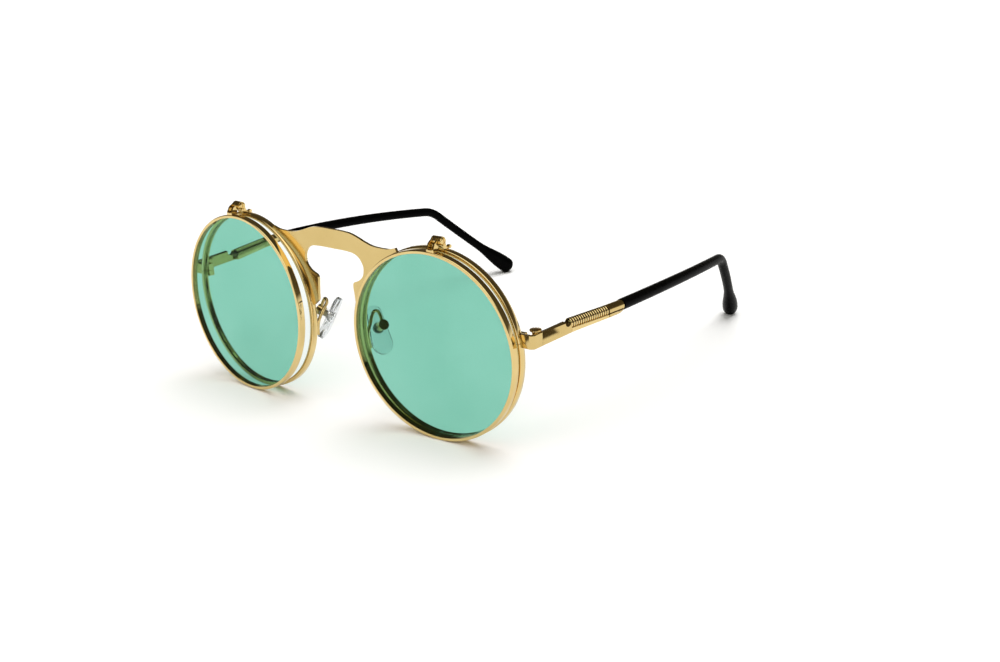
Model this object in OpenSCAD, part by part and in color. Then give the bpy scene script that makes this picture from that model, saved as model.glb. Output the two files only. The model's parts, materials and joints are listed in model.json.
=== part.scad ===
// Flip-up round sunglasses with folding temples, modelled in their own frame:
// +Z is up, -Y is the wearer's view, +X is the wearer's left. They stand on both rims and both temple tips.

/* [Front] */
// Distance between the two lens centres
lens_spacing = 67.75; // [66:0.25:72]
// Clear opening of every rim
opening_d = 48; // [44:0.5:49]
// Radial width of a main rim
rim_w = 1; // [0.9:0.05:1.4]
// Depth of a rim from front to back
rim_depth = 1.9; // [1.3:0.1:1.9]
// Angle by which each lens turns back at its outer edge
wrap = 4; // [0:0.5:7]
// Depth of the lens groove in a rim
groove_depth = 0.4; // [0.2:0.05:0.45]
// Thickness of a clear lens
clear_lens_t = 1.1; // [0.8:0.1:1.3]

/* [Bridge plate] */
// Thickness of the bridge plate
plate_t = 0.8; // [0.6:0.1:1.2]
// Height of the middle of the plate's top edge over the tops of the main rims
plate_rise = 0.1; // [0:0.1:1.5]
// Height of the plate's bar over its opening
plate_bar_h = 5.1; // [4:0.1:6.4]
// Width of a leg of the plate, from the neck to the main rim
plate_leg_w = 2.375; // [1.9:0.025:2.8]
// Width that the plate's opening gains on each side over the neck
plate_bay_w = 4.25; // [3.3:0.05:4.8]
// Height of the plate's wings over the main rims
wing_h = 0.9; // [0.6:0.1:1.6]

/* [Flip-up fronts] */
// Radial width of a flip rim
flip_rim_w = 0.85; // [0.8:0.05:1]
// Gap between a flip rim and its main rim at hinge height
flip_gap = 1.38; // [1.36:0.02:2]
// Angle between a closed flip rim and its main rim
flip_lean = 1.3; // [0.8:0.05:1.3]
// Angle by which the wearer's right flip front stands open
right_flip_ajar = 3; // [0:0.5:90]
// Thickness of a tinted lens
tinted_lens_t = 1.1; // [0.8:0.1:1.3]

/* [Flip hinges] */
// Outer diameter of the flip hinge barrel
flip_barrel_d = 2.4; // [1.9:0.05:2.5]
// Height of the flip hinge's axis over the top of the main rim
flip_axis_h = 1.85; // [1.6:0.01:2.1]
// Distance of the flip hinge's axis in front of the main rim's middle
flip_axis_y = 1.13; // [0.9:0.01:1.3]
// Distance of a flip hinge outward from its lens centre
flip_hinge_out = 2.37; // [0:0.1:6]
// Diameter of the flip screw's shank
flip_pin_d = 0.9; // [0.7:0.05:1.1]
// Diameter of the flip screw's head
flip_head_d = 2.1; // [1.6:0.05:2.3]

/* [Temples] */
// Height of the end pieces and temple bars over the lens centres
temple_h = 5; // [2:0.1:8]
// Height of the flat temple bar
bar_h = 3.3; // [3:0.1:3.8]
// Thickness of the flat temple bar
bar_t = 1; // [0.8:0.05:1.1]
// Length of the flat temple bar
bar_len = 11.3; // [8:0.1:16]
// Length of the ribbed grip
grip_len = 13.1; // [10:0.1:20]
// Number of ribs on a grip
rib_count = 17; // [10:1:20]
// Diameter of a grip over its ribs
grip_d = 2.7; // [2.4:0.05:2.9]
// Depth of the grooves between the ribs
rib_depth = 0.28; // [0.16:0.02:0.36]
// Length of the plain collar behind a grip
collar_len = 5.8; // [4:0.1:9]
// Outward angle of the temple bar
bar_flare = 3; // [0:0.5:10]
// Outward angle of the ribbed grip
grip_flare = 10; // [0:0.5:12]
// Outward angle of the collar
collar_flare = 6; // [0:0.5:10]
// Distance along a temple from its hinge to the bend over the ear
temple_len = 94.8; // [80:0.2:110]
// Length of the temple tip beyond the bend
drop_len = 38.4; // [30:0.2:42]
// Angle of the drop below the level
drop_angle = 42.5; // [34:0.2:46]
// Radius of the sideways bow of a sleeve
bow_r = 272; // [220:5:400]
// Radius of the upward arch of a sleeve
arch_r = 660; // [500:10:1500]
// Diameter of the black sleeve where it starts
sleeve_d = 3; // [2.7:0.05:3.1]
// Diameter of the black sleeve at the bend
sleeve_bend_d = 2.85; // [2.6:0.05:3.3]
// Height of the sleeve's rounded end
paddle_w = 5.4; // [3.2:0.1:6]
// Thickness of the sleeve's rounded end
paddle_t = 4.8; // [2.6:0.1:5.4]
// Diameter of the metal wire inside the sleeve
core_d = 1.4; // [1:0.1:1.6]

/* [Temple hinges] */
// Outer diameter of the temple hinge barrel
temple_barrel_d = 1.8; // [1.6:0.05:2]
// Diameter of the temple screw's shank
temple_pin_d = 0.9; // [0.7:0.05:1]
// Diameter of the temple screw's head
temple_head_d = 2.8; // [2.2:0.05:3]
// Distance of the temple hinge's axis behind the main rim's outer edge
temple_axis_back = 3.3; // [3:0.05:5]
// Distance of the temple hinge's axis outward of the main rim's outer edge
temple_axis_out = 1.35; // [1.2:0.05:2]
// Thickness of an end piece
end_piece_t = 1.1; // [0.9:0.05:1.3]

/* [Nose pads] */
// Length of a nose pad
pad_len = 13.2; // [11:0.1:14]
// Width of a nose pad
pad_w = 5.6; // [5:0.1:6.2]
// Thickness of a nose pad
pad_t = 2; // [1.6:0.1:2.2]
// Angle by which a pad's top leans to the nose
pad_tilt = 28.5; // [22:0.5:32]
// Angle by which a pad opens towards the back
pad_splay = 21; // [16:0.5:25]
// Distance of a pad's middle behind the main rim's nose side
pad_back = 5.77; // [5.3:0.05:7]
// Diameter of the metal disc in a pad
pad_disc_d = 3; // [2.4:0.1:3.4]
// Outer diameter of the pad arm's box
pad_box_d = 2.8; // [2.6:0.1:3.2]
// Diameter of the pad arm's wire
pad_wire_d = 0.9; // [0.7:0.05:1]
// Diameter of the pad screw's shank
pad_pin_d = 0.7; // [0.6:0.05:0.8]

/* [Hidden] */
$fn = 96;
left = 1;
right = -1;
gold = [0.84, 0.70, 0.38];
steel = [0.78, 0.78, 0.76];

// Clearances
pin_play = 0.05;
fit = 0.01;
knuckle_gap = 0.1;
lens_play = 0.05;
seam = 0.06;
past = 0.5;

// Rims
half_spacing = lens_spacing / 2;
open_r = opening_d / 2;
rim_r = open_r + rim_w;
flip_rim_r = open_r + flip_rim_w;
rim_front = -rim_depth / 2;
rim_back = rim_depth / 2;
rim_edge = 0.15;
groove_floor = 0.08;
slit_w = 0.12;
slot_w = 0.3;
slot_depth = 0.22;

// Closing block behind a main rim, at the temple side
block_w = 1.6;
block_d = 1.6;
block_below = 2.3;
block_above = 1.2;
block_x = rim_r - 0.4 - block_w / 2;
block_y = rim_back + block_d / 2;
slit_below = 0.8;
lock_pin_d = 0.8;
lock_head_d = 1.2;
lock_head_t = 0.5;

// Flip hinge: places along its axis from its middle
flip_axis_z = rim_r + flip_axis_h;
flip_mid_y = flip_axis_y - rim_depth - flip_gap;
arm_w = 0.5;
base_inner_w = 1;
arm_left = -1.5;
base_left = arm_left + arm_w + knuckle_gap;
arm_right = base_left + base_inner_w + knuckle_gap;
base_right = arm_right + arm_w + knuckle_gap;
flip_head_x = base_right + arm_w + fit;
flip_head_t = 0.4;
flip_foot_t = 0.25;
leaf_foot_t = 0.45;
lug_d = 0.9;
lug_w = 0.9;

// End piece and temple hinge
temple_axis_x = half_spacing + rim_r * cos(wrap) + temple_axis_out;
temple_axis_y = rim_r * sin(wrap) + temple_axis_back;
temple_gap = 0.1;
wall_in = temple_barrel_d / 2 + 0.15;
wall_out = wall_in + bar_t;
knuckle_h = (bar_h - 2 * knuckle_gap) / 3;
temple_head_t = 0.55;
temple_pin_below = 0.25;
corner_r = 1.2;

// Temple: the path is the axis of grip, collar and sleeve, and d is the distance from the hinge
rod_r = grip_d / 2;
rod_up = bar_h / 2 - rod_r;
collar_start = bar_len + grip_len;
sleeve_start = collar_start + collar_len;
path_end = temple_len + drop_len;
bar_rise = 0.8;
grip_rise = 0.3;
sleeve_flare = 0.2;
sleeve_rise = -1.5;
bend_half = 3;
sleeve_gap = sleeve_d / 2 * sin(collar_flare) + seam / 2;
wire_end = path_end - 8;
wire_in_collar = 2.5;
wire_play = 0.1;

function toward(flare, up) = [sin(flare) * cos(up), cos(flare) * cos(up), sin(up)];
hinge_point = [temple_axis_x + wall_out - rod_r, temple_axis_y, temple_h + rod_up];
bar_end = hinge_point + bar_len * toward(bar_flare, bar_rise);
grip_end = bar_end + grip_len * toward(grip_flare, grip_rise);
collar_end = grip_end + collar_len * toward(collar_flare, -grip_rise);
function side_shift(t) = t * tan(sleeve_flare) - t * t / (2 * bow_r);
function up_shift(t) = t * tan(sleeve_rise) - t * t / (2 * arch_r);
function on_arch(d) = let (t = d - sleeve_start) collar_end + [side_shift(t), t, up_shift(t)];
function on_drop(d) = let (b = on_arch(temple_len), t = d - temple_len)
    [collar_end[0] + side_shift(d - sleeve_start), b[1] + t * cos(drop_angle), b[2] - t * sin(drop_angle)];
function mix(a, b, t) = a * (1 - t) + b * t;
function bent(d) = let (t = (d - temple_len + bend_half) / (2 * bend_half),
    a = on_arch(temple_len - bend_half), b = on_arch(temple_len), c = on_drop(temple_len + bend_half))
    mix(mix(a, b, t), mix(b, c, t), t);
function path(d) = d < temple_len - bend_half ? on_arch(d)
    : d > temple_len + bend_half ? on_drop(d) : bent(d);
function unit(v) = v / norm(v);
function heading(d) = unit(path(d + 0.5) - path(d - 0.5));
function ease(t) = let (u = min(max(t, 0), 1)) u * u * (3 - 2 * u);
function part_way(d, from, to) = ease((d - from) / (to - from));

// Half height and half thickness of the sleeve along the path
paddle_from = path_end - 16;
paddle_to = path_end - 3.5;
tip_round = paddle_w * 0.36;
function sleeve_r(d) = mix(sleeve_d, sleeve_bend_d, part_way(d, sleeve_start, temple_len)) / 2;
function tip_scale(d) = let (t = (d - path_end + tip_round) / tip_round) t < 0 ? 1 : sqrt(max(0.01, 1 - t * t));
function sleeve_high(d) = tip_scale(d) * mix(sleeve_r(d), paddle_w / 2, part_way(d, paddle_from, paddle_to));
function sleeve_thick(d) = tip_scale(d) * mix(sleeve_r(d), paddle_t / 2, part_way(d, paddle_from, paddle_to));

// Tubes swept along points: a ring of points at each place, joined by triangles
sides = 24;
function ring(p, t, high, thick, n) = let (flat = unit([t[1], -t[0], 0]), up = cross(flat, t))
    [for (i = [0 : n - 1]) p + up * high * cos(360 * i / n) + flat * thick * sin(360 * i / n)];
function joined(rings) = [for (r = rings, p = r) p];
function skin(rows, n, start, inside) = [for (k = [0 : rows - 2], i = [0 : n - 1], h = [0, 1])
    let (j = (i + 1) % n, a = start + k * n, b = a + n,
        t = h == 0 ? [a + i, b + i, b + j] : [a + i, b + j, a + j])
    inside ? [t[2], t[1], t[0]] : t];
function cap(start, n, back) = [for (i = [0 : n - 1]) start + (back ? n - 1 - i : i)];
function steps(from, to, n) = [for (i = [0 : n - 1]) from + (to - from) * i / n];
straight_stations = steps(sleeve_start + sleeve_gap, temple_len - bend_half, 14);
bend_stations = steps(temple_len - bend_half, temple_len + bend_half, 6);
drop_stations = steps(temple_len + bend_half, path_end - tip_round, 14);
tip_stations = [for (a = [0 : 15 : 90]) path_end - tip_round + tip_round * sin(a)];
wire_stations = concat(straight_stations, bend_stations, steps(temple_len + bend_half, wire_end, 5),
    [wire_end]);
sleeve_rings = [for (d = concat(straight_stations, bend_stations, drop_stations, tip_stations))
    ring(path(d), heading(d), sleeve_high(d), sleeve_thick(d), sides)];

// Smooth curve through a list of points
function curve(p, n) = concat([for (i = [0 : len(p) - 2], k = [0 : n - 1])
    let (a = p[max(i - 1, 0)], b = p[i], c = p[i + 1], d = p[min(i + 2, len(p) - 1)], t = k / n)
    0.5 * (2 * b + (c - a) * t + (2 * a - 5 * b + 4 * c - d) * t * t + (3 * b - a - 3 * c + d) * t * t * t)],
    [p[len(p) - 1]]);

// The object stands on both main rims and both temple tips
tip_low = min([for (p = joined(sleeve_rings)) p[2]]);
pitch = atan((-tip_low - rim_r) / (path(path_end - tip_round)[1] - rim_front));
function stood(p) = [p[0], p[1] * cos(pitch) - p[2] * sin(pitch), p[1] * sin(pitch) + p[2] * cos(pitch)];
floor_z = min(concat([stood([0, rim_front, -rim_r])[2]], [for (p = joined(sleeve_rings)) stood(p)[2]]));
right_open = right_flip_ajar - flip_lean;
function flip_front(a) = let (r = flip_rim_r - rim_edge, x = r * cos(a), z = r * sin(a) - flip_axis_z,
    y = (flip_mid_y + rim_front) * cos(right_open) + z * sin(right_open) - flip_axis_y)
    stood([0, y * cos(wrap) - x * sin(wrap), flip_axis_z + z * cos(right_open)])[1];
front_y = min([for (a = [0 : 5 : 355]) flip_front(a)]);
back_y = max([for (p = joined(sleeve_rings)) stood(p)[1]]);
shift_y = -(front_y + back_y) / 2;

module standing() {
    translate([0, shift_y, -floor_z]) rotate([pitch, 0, 0]) children();
}

module on_ring(s) {
    standing() translate([s * half_spacing, 0, 0]) rotate([0, 0, s * wrap]) children();
}

module on_side(s) {
    standing() mirror([s < 0 ? 1 : 0, 0, 0]) children();
}

// Origin on the flip hinge's axis, +X along it
module on_flip_hinge(s) {
    on_ring(s) translate([s * flip_hinge_out, -flip_axis_y, flip_axis_z]) children();
}

// The same frame, swung with the flip front
module on_flip(s) {
    on_flip_hinge(s) rotate([s > 0 ? flip_lean : -right_open, 0, 0]) children();
}

// Extrudes a shape drawn in Y and Z from x0 to x1
module along_x(x0, x1) {
    translate([x0, 0, 0]) rotate([90, 0, 90]) linear_extrude(x1 - x0) children();
}

// Domed head above Z = 0 with a slot, shank below
module slotted_screw(head_d, head_t, pin_d, pin_len) {
    difference() {
        rotate_extrude() polygon(concat([[0, -pin_len], [pin_d / 2, -pin_len], [pin_d / 2, 0]],
            [for (a = [0 : 15 : 90]) [head_d / 2 * cos(a), head_t * (a == 0 ? 0 : 0.35 + 0.65 * sin(a))]]));
        translate([-head_d, -slot_w / 2, head_t - slot_depth]) cube([2 * head_d, slot_w, head_t]);
    }
}

module ring_body(r) {
    rotate([90, 0, 0]) rotate_extrude($fn = 180) polygon([
        [open_r, rim_front], [r - rim_edge, rim_front], [r, rim_front + rim_edge],
        [r, rim_back - rim_edge], [r - rim_edge, rim_back], [open_r, rim_back],
        [open_r, groove_depth + groove_floor], [open_r + groove_depth, groove_floor],
        [open_r + groove_depth, -groove_floor], [open_r, -groove_depth - groove_floor]]);
}

module lens_body(t) {
    r = open_r - lens_play;
    bevel = min(groove_depth, t / 2 - 0.05);
    rotate([90, 0, 0]) rotate_extrude($fn = 180) polygon([[0, -t / 2], [r, -t / 2], [r, -bevel],
        [r + bevel, 0], [r, bevel], [r, t / 2], [0, t / 2]]);
}

// The space that a main rim fills, in the frame of one side
module rim_space() {
    translate([half_spacing, 0, 0]) rotate([0, 0, wrap]) rotate([90, 0, 0])
        cylinder(h = rim_depth * 4, r = rim_r + fit, center = true, $fn = 180);
}

module rim(s) {
    block_h = block_below + block_above;
    color(gold) on_ring(s) difference() {
        union() {
            ring_body(rim_r);
            translate([s * block_x - block_w / 2, rim_back - 0.1, temple_h - block_below])
                cube([block_w, block_d + 0.1, block_h]);
        }
        translate([s * rim_r - 2 * rim_w, rim_front - past, temple_h - slit_below])
            cube([4 * rim_w, rim_depth + 2 * past, slit_w]);
        translate([s * block_x - block_w, rim_back - 0.2, temple_h - slit_below])
            cube([2 * block_w, block_d + past, slit_w]);
        translate([s * block_x, block_y, temple_h - block_below - past])
            cylinder(h = past + lock_head_t + fit, d = lock_head_d + 2 * fit);
        translate([s * block_x, block_y, temple_h - block_below])
            cylinder(h = block_h - 0.5, d = lock_pin_d + 2 * fit);
    }
}

module rim_lock_screw(s) {
    shank = block_below + block_above - lock_head_t - 0.6;
    color(gold) on_ring(s) translate([s * block_x, block_y, temple_h - block_below + lock_head_t])
        rotate([180, 0, 0]) slotted_screw(lock_head_d, lock_head_t, lock_pin_d, shank);
}

module clear_lens(s) {
    color([0.9, 0.95, 0.93, 0.4]) on_ring(s) lens_body(clear_lens_t);
}

// Bridge plate: one half of its outline, from the middle of the top edge round to the middle of the opening
plate_y = rim_back - rim_r * sin(wrap) - plate_t / 2;
wing_angle = 26.5;
wing_foot_angle = wing_angle + 5;
leg_angle = 83;
in_rim = rim_r - 0.8 * rim_w;
neck_w = half_spacing - rim_r - plate_leg_w;
opening_w = neck_w + plate_bay_w;
plate_top = rim_r + plate_rise;
opening_h = plate_top - plate_bar_h;
function by_rim(r, a) = [half_spacing - r * sin(a), r * cos(a)];
wing_foot = by_rim(rim_r + wing_h + 0.55, wing_foot_angle);
function on_top(share, drop) = [share * wing_foot[0], plate_top - drop];
plate_top_edge = [on_top(0, 0), on_top(0.16, 0), on_top(0.33, 0.25), on_top(0.46, 0.95), on_top(0.57, 1.75),
    on_top(0.7, 2.45), on_top(0.83, 2.65), wing_foot, by_rim(rim_r + wing_h, wing_angle)];
plate_rim_side = [for (a = [wing_angle : 11.3 : leg_angle]) by_rim(in_rim, a)];
plate_opening = [by_rim(in_rim, leg_angle), by_rim(rim_r, leg_angle), by_rim(rim_r + 1.2, leg_angle - 1.6),
    [neck_w + 0.55, 4.9], [neck_w + 0.4, 6.7], [neck_w + 0.2, 9], [neck_w, opening_h - 9],
    [neck_w + 0.5, opening_h - 8.1], [opening_w - 2.7, opening_h - 7.7], [opening_w - 1.35, opening_h - 6.9],
    [opening_w - 0.35, opening_h - 5.7], [opening_w, opening_h - 4], [opening_w - 0.35, opening_h - 2.6],
    [opening_w - 1.4, opening_h - 1.2], [opening_w - 3.2, opening_h - 0.3],
    [0.42 * opening_w, opening_h], [0, opening_h]];
plate_half = concat(curve(plate_top_edge, 5), plate_rim_side, curve(plate_opening, 4));
plate_mirrored = [for (i = [len(plate_half) - 2 : -1 : 1]) [-plate_half[i][0], plate_half[i][1]]];

module bridge_plate() {
    color(gold) standing() difference() {
        translate([0, plate_y, 0]) rotate([90, 0, 0]) linear_extrude(plate_t, center = true)
            polygon(concat(plate_half, plate_mirrored));
        rim_space();
        mirror([1, 0, 0]) rim_space();
    }
}

// An end piece starts inside the rim's wall and turns back round a corner to the temple bar
end_piece_in = half_spacing + open_r - 1;
end_piece_out = temple_axis_x + wall_out;
end_piece_front = rim_r * sin(wrap) - 0.6;
end_piece_back = end_piece_front + end_piece_t;
end_piece_end = temple_axis_y - temple_gap / 2;

module end_piece(s) {
    corner = [end_piece_out - corner_r, end_piece_front + corner_r];
    inner = temple_axis_x + wall_in;
    color(gold) on_side(s) difference() {
        translate([0, 0, temple_h]) {
            translate([0, 0, -bar_h / 2]) linear_extrude(bar_h) polygon(concat(
                [[end_piece_in, end_piece_back], [end_piece_in, end_piece_front]],
                [for (a = [0 : 15 : 90]) corner + corner_r * [sin(a), -cos(a)]],
                [[end_piece_out, end_piece_end], [inner, end_piece_end],
                [inner, end_piece_back + 0.3], [inner - 0.3, end_piece_back]]));
            for (up = [-1, 1]) translate([temple_axis_x, temple_axis_y, up * (knuckle_h + knuckle_gap)]) {
                cylinder(h = knuckle_h, d = temple_barrel_d, center = true);
                translate([0, -temple_barrel_d / 2, -knuckle_h / 2])
                    cube([wall_in + 0.1, temple_barrel_d / 2 - temple_gap / 2, knuckle_h]);
            }
        }
        translate([temple_axis_x, temple_axis_y, temple_h - bar_h])
            cylinder(h = 2 * bar_h, d = temple_pin_d + 2 * fit);
        rim_space();
    }
}

module temple_screw(s) {
    color(gold) on_side(s) translate([temple_axis_x, temple_axis_y, temple_h + bar_h / 2 + seam])
        slotted_screw(temple_head_d, temple_head_t, temple_pin_d, bar_h + temple_pin_below);
}

// Fixed half of a flip hinge: two arms on a foot that hugs the main rim, with a small lug behind
module flip_base(s) {
    rim_top = -flip_axis_h;
    rim_mid = flip_axis_y;
    arm = [[0, 0], [-0.3, -0.95], [rim_mid + rim_front, rim_top + 0.1],
        [rim_mid + 0.4, rim_top + 0.1], [1, -0.2]];
    fixed_arms = [[base_left, base_inner_w], [base_right, arm_w]];
    color(gold) on_flip_hinge(s) difference() {
        union() {
            for (a = fixed_arms) along_x(a[0], a[0] + a[1]) {
                circle(d = flip_barrel_d);
                polygon(arm);
            }
            translate([base_left, rim_mid + rim_front, rim_top - 0.4])
                cube([base_right + arm_w - base_left, rim_depth + 0.2, 0.4 + flip_foot_t]);
            translate([base_right, rim_mid + rim_back + 0.4, rim_top + 0.1])
                rotate([0, 90, 0]) cylinder(h = lug_w, d = lug_d);
        }
        translate([-s * flip_hinge_out, rim_mid, -flip_axis_z]) rotate([90, 0, 0])
            cylinder(h = rim_depth + 2 * fit, r = rim_r + fit, center = true, $fn = 180);
        translate([-s * flip_hinge_out, rim_mid + 2, -flip_axis_z]) rotate([90, 0, 0])
            cylinder(h = 4, r = open_r, center = true, $fn = 180);
        translate([base_left - past, 0, 0]) rotate([0, 90, 0]) cylinder(h = 4, d = flip_pin_d + 2 * fit);
    }
}

module flip_screw(s) {
    color(gold) on_flip_hinge(s) translate([flip_head_x, 0, 0]) rotate([0, 90, 0])
        slotted_screw(flip_head_d, flip_head_t, flip_pin_d, flip_head_x - arm_left);
}

module flip_rim(s) {
    color(gold) on_flip(s) translate([-s * flip_hinge_out, flip_mid_y, -flip_axis_z]) ring_body(flip_rim_r);
}

module tinted_lens(s) {
    color([0.48, 0.80, 0.68, 0.6]) on_flip(s) translate([-s * flip_hinge_out, flip_mid_y, -flip_axis_z])
        lens_body(tinted_lens_t);
}

// Swinging half of a flip hinge: two arms on a foot that hugs the flip rim
module flip_leaf(s) {
    top = flip_rim_r - flip_axis_z + leaf_foot_t;
    front = flip_mid_y + rim_front;
    back = flip_mid_y + rim_back;
    arm = [[0, 0], [-0.55, 0.9], [front + 0.8, -0.05], [front + 0.15, top + 0.35], [front, top],
        [front, top - 0.3], [back, top - 0.3], [back, top], [-0.95, -0.5]];
    color(gold) on_flip(s) difference() {
        union() {
            for (x = [arm_left, arm_right]) along_x(x, x + arm_w) {
                circle(d = flip_barrel_d);
                polygon(arm);
            }
            translate([arm_left, front, top - leaf_foot_t - 0.4])
                cube([arm_right + arm_w - arm_left, rim_depth, leaf_foot_t + 0.4]);
        }
        translate([-s * flip_hinge_out, flip_mid_y, -flip_axis_z]) rotate([90, 0, 0])
            cylinder(h = rim_depth + 2 * past, r = flip_rim_r + fit, center = true, $fn = 180);
        translate([arm_left - past, 0, 0]) rotate([0, 90, 0]) cylinder(h = 5, d = flip_pin_d + 2 * pin_play);
    }
}

// Frame at point p of a temple, +Y along it, +X outward
module from_point(p, flare, up) {
    translate(p) rotate([up, 0, -flare]) children();
}

// The bar ends short of the grip, which points further outward
strip_low = rod_up + bar_h / 2;
bar_stop = bar_len - seam - rod_r * tan(max(0, grip_flare - bar_flare));
strip_end_low = rod_r + 0.1;
strip_top = -rod_r * 0.6;
channel_in = rod_r * 0.6;
scoop_r = 1.15;
scoop_down = 0.35;
nose_r = 0.6 * bar_t;
nose_len = 1.2 * bar_t;

module temple_bar(s) {
    color(gold) on_side(s) difference() {
        union() {
            from_point(hinge_point, bar_flare, bar_rise) difference() {
                translate([rod_r - bar_t, temple_gap / 2, -strip_low])
                    cube([bar_t, bar_stop - temple_gap / 2, bar_h]);
                along_x(rod_r - bar_t - past, rod_r + past) translate([bar_stop - scoop_r, rod_r - scoop_down]) {
                    circle(r = scoop_r);
                    translate([-scoop_r, 0]) square([2 * scoop_r + past, scoop_r]);
                }
            }
            translate([temple_axis_x, temple_axis_y, temple_h]) {
                cylinder(h = knuckle_h, d = temple_barrel_d, center = true);
                translate([0, temple_gap / 2, -knuckle_h / 2])
                    cube([wall_in + 0.2, temple_barrel_d / 2 - temple_gap / 2, knuckle_h]);
            }
        }
        translate([temple_axis_x, temple_axis_y, temple_h])
            cylinder(h = 2 * bar_h, d = temple_pin_d + 2 * pin_play, center = true);
    }
}

// Ribs of a grip: one rib's outline as radius and share of the pitch
rib_pitch = grip_len / rib_count;
rib_root = rod_r - rib_depth;
rib_side = rod_r - rib_depth / 4;
rib = [[rib_root, 0], [rib_root, 0.15], [rib_side, 0.28], [rod_r, 0.4],
    [rod_r, 0.65], [rib_side, 0.77], [rib_root, 0.9]];

module rod_from(y) {
    translate([0, y, 0]) rotate([-90, 0, 0]) children();
}

// Lowest edge of the flat outer strip, which narrows from the bar to the sleeve
function strip_z(y) = -mix(strip_low, strip_end_low, y / (grip_len + collar_len));

module strip(y0, y1, start) {
    low0 = strip_z(start + y0);
    low1 = strip_z(start + y1);
    along_x(rod_r - bar_t, rod_r) polygon([[y0, low0], [y1, low1], [y1, strip_top], [y0, strip_top]]);
    along_x(-channel_in, rod_r - bar_t + fit)
        polygon([[y0, low0], [y1, low1], [y1, -channel_in], [y0, -channel_in]]);
}

module temple_grip(s) {
    color(gold) on_side(s) from_point(bar_end, grip_flare, grip_rise) {
        rotate([-90, 0, 0]) rotate_extrude() polygon(concat([[0, 0]],
            [for (i = [0 : rib_count - 1], q = rib) [q[0], (i + q[1]) * rib_pitch]],
            [[rib_root, grip_len], [0, grip_len]]));
        strip(0, grip_len, 0);
        translate([rod_r - bar_t - nose_r - 0.1, -nose_len, 0]) {
            rod_from(0) cylinder(h = nose_len + 0.1, r = nose_r);
            sphere(r = nose_r);
        }
    }
}

// Plain collar: rod and strip, both cut back to a cone that ends at the sleeve
module temple_collar(s) {
    cone_from = collar_len * 0.72;
    wide = rod_r + 0.6;
    color(gold) on_side(s) from_point(grip_end, collar_flare, -grip_rise) difference() {
        intersection() {
            union() {
                rod_from(seam) cylinder(h = collar_len - seam, r = rod_r);
                strip(seam, collar_len, grip_len);
            }
            rod_from(0) rotate_extrude() polygon([[0, 0], [2 * wide, 0], [2 * wide, cone_from],
                [wide, cone_from], [sleeve_d / 2 + 0.02, collar_len], [0, collar_len]]);
        }
        rod_from(collar_len - wire_in_collar) cylinder(h = wire_in_collar + past, d = core_d + 4 * wire_play);
    }
}

module core_wire(s) {
    r = core_d / 2;
    inner_end = collar_end - wire_in_collar * toward(collar_flare, -grip_rise);
    rings = concat([ring(inner_end, heading(sleeve_start), r, r, sides)],
        [for (d = wire_stations) ring(path(d), heading(d), r, r, sides)]);
    color(steel) on_side(s) polyhedron(joined(rings), concat(skin(len(rings), sides, 0, false),
        [cap(0, sides, false), cap((len(rings) - 1) * sides, sides, true)]));
}

module temple_tip(s) {
    r = core_d / 2 + wire_play;
    bore = [for (d = wire_stations) ring(path(d == wire_end ? d + 0.3 : d), heading(d), r, r, sides)];
    rows = len(sleeve_rings);
    first = rows * sides;
    color([0.06, 0.06, 0.06]) on_side(s) polyhedron(concat(joined(sleeve_rings), joined(bore)), concat(
        skin(rows, sides, 0, false), [cap((rows - 1) * sides, sides, true)],
        skin(len(bore), sides, first, true), [cap(first + (len(bore) - 1) * sides, sides, false)],
        [for (i = [0 : sides - 1], h = [0, 1]) let (j = (i + 1) % sides)
            h == 0 ? [i, j, first + j] : [i, first + j, first + i]]));
}

// Nose pads: +X away from the nose, +Y the pad's width, +Z up its length
pad_middle = [half_spacing - rim_r + 0.3, pad_back - rim_r * sin(wrap), -2.2];
disc_up = 0.5;
disc_t = 0.5;
box_from = pad_t / 2 + 1.2;
box_len = 2.2;
pad_axis_x = box_from + 0.75;
box_slot = 1.2;
wire_off = 0.1;
stub_t = 1;
stub_r = 0.75;
wire_sides = 12;

module on_pad(s) {
    on_side(s) translate(pad_middle) rotate([0, 0, -pad_splay]) rotate([0, -pad_tilt, 0]) children();
}

// A point of the pad's frame in the frame of its side
function turned(p) = let (x = p[0] * cos(pad_tilt) - p[2] * sin(pad_tilt),
    z = p[0] * sin(pad_tilt) + p[2] * cos(pad_tilt))
    pad_middle + [x * cos(pad_splay) + p[1] * sin(pad_splay), p[1] * cos(pad_splay) - x * sin(pad_splay), z];

// A point of the pad arm's wire behind the rim at height z
function behind_rim(z) = let (x = -sqrt(pow(rim_r - rim_w / 2, 2) - z * z),
    y = rim_back + pad_wire_d / 2 + wire_off)
    [half_spacing + x * cos(wrap) - y * sin(wrap), x * sin(wrap) + y * cos(wrap), z];

module pad_stub(grow) {
    rotate([90, 0, 0]) linear_extrude(stub_t + 2 * grow, center = true) {
        translate([pad_axis_x, disc_up]) circle(r = stub_r + grow);
        translate([0, disc_up - stub_r - grow]) square([pad_axis_x, 2 * (stub_r + grow)]);
    }
}

module nose_pad(s) {
    low = pad_w / 2;
    high = pad_w * 0.36;
    color([0.92, 0.94, 0.95, 0.5]) on_pad(s) difference() {
        hull() for (q = [[-pad_len / 2 + low, low], [pad_len / 2 - high, high]], side = [-1, 1])
            translate([side * (pad_t / 2 - 0.5), 0, q[0]]) scale([0.5 / q[1], 1, 1]) sphere(r = q[1], $fn = 32);
        translate([-disc_t / 2 - fit, 0, disc_up]) rotate([0, 90, 0])
            cylinder(h = disc_t + 2 * fit, d = pad_disc_d + 2 * fit);
        intersection() {
            pad_stub(fit);
            translate([0, -pad_w, -pad_w]) cube([pad_t / 2 + past, 2 * pad_w, 2 * pad_w]);
        }
    }
}

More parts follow.
